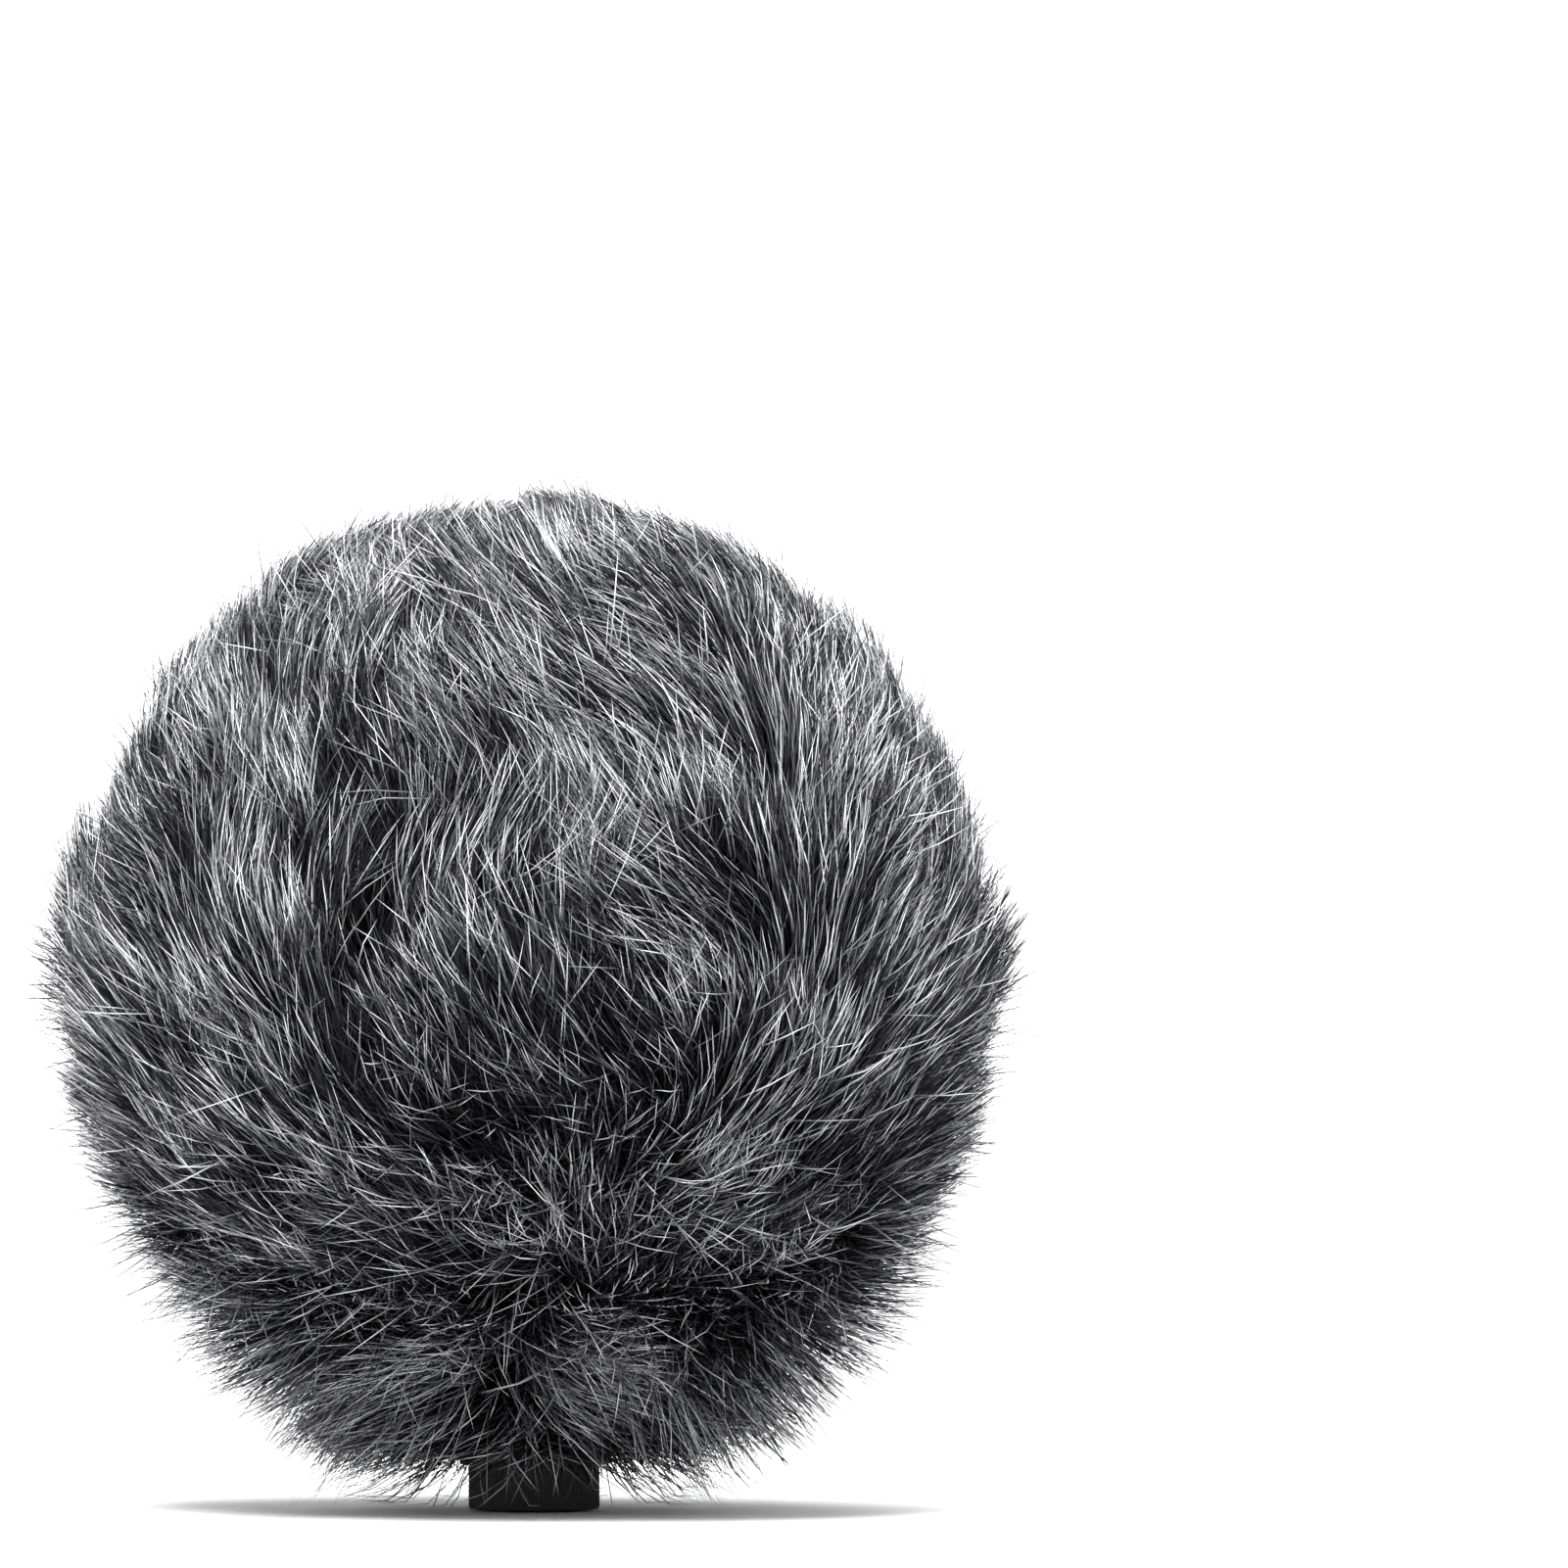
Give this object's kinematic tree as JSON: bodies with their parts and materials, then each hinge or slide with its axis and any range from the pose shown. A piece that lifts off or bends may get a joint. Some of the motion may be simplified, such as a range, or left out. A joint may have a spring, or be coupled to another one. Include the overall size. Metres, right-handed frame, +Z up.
{
  "type": "furry windscreen",
  "caption": "Ball-shaped furry wind cover, sewn from long-pile gores with a ribbed elastic neck cuff that grips the stand of a ball microphone.",
  "frame": {"origin": "centre of the neck cuff's lower rim, on the cover's upright axis", "axes": "+Z up the axis through the middle of the ball to the crown; -Y is the front; the seam left of the front is 22 degrees round from -Y towards -X"},
  "size_m": [0.1288, 0.1288, 0.1373],
  "materials": {
    "guard_fur": "long charcoal fur fibres, satin",
    "underfur": "dense dark fur fibres",
    "backing_knit": "black knitted ground cloth",
    "elastic_knit": "black ribbed knit",
    "elastic_rubber": "matt black rubber",
    "thread": "black polyester thread"
  },
  "bodies": {
    "root": {"cuff_inner_face": "elastic_knit", "cuff_rubber_strands": "elastic_rubber", "cuff_outer_face": "elastic_knit", "cuff_join_tack": "thread", "hem_zigzag_stitches": "thread", "backing_front": "backing_knit", "underfur_front": "underfur", "guard_fur_front": "guard_fur", "seam_stitches_front": "thread", "backing_right": "backing_knit", "underfur_right": "underfur", "guard_fur_right": "guard_fur", "seam_stitches_right": "thread", "backing_rear": "backing_knit", "underfur_rear": "underfur", "guard_fur_rear": "guard_fur", "seam_stitches_rear": "thread", "backing_left": "backing_knit", "underfur_left": "underfur", "guard_fur_left": "guard_fur", "seam_stitches_left": "thread"}
  },
  "joints": []
}
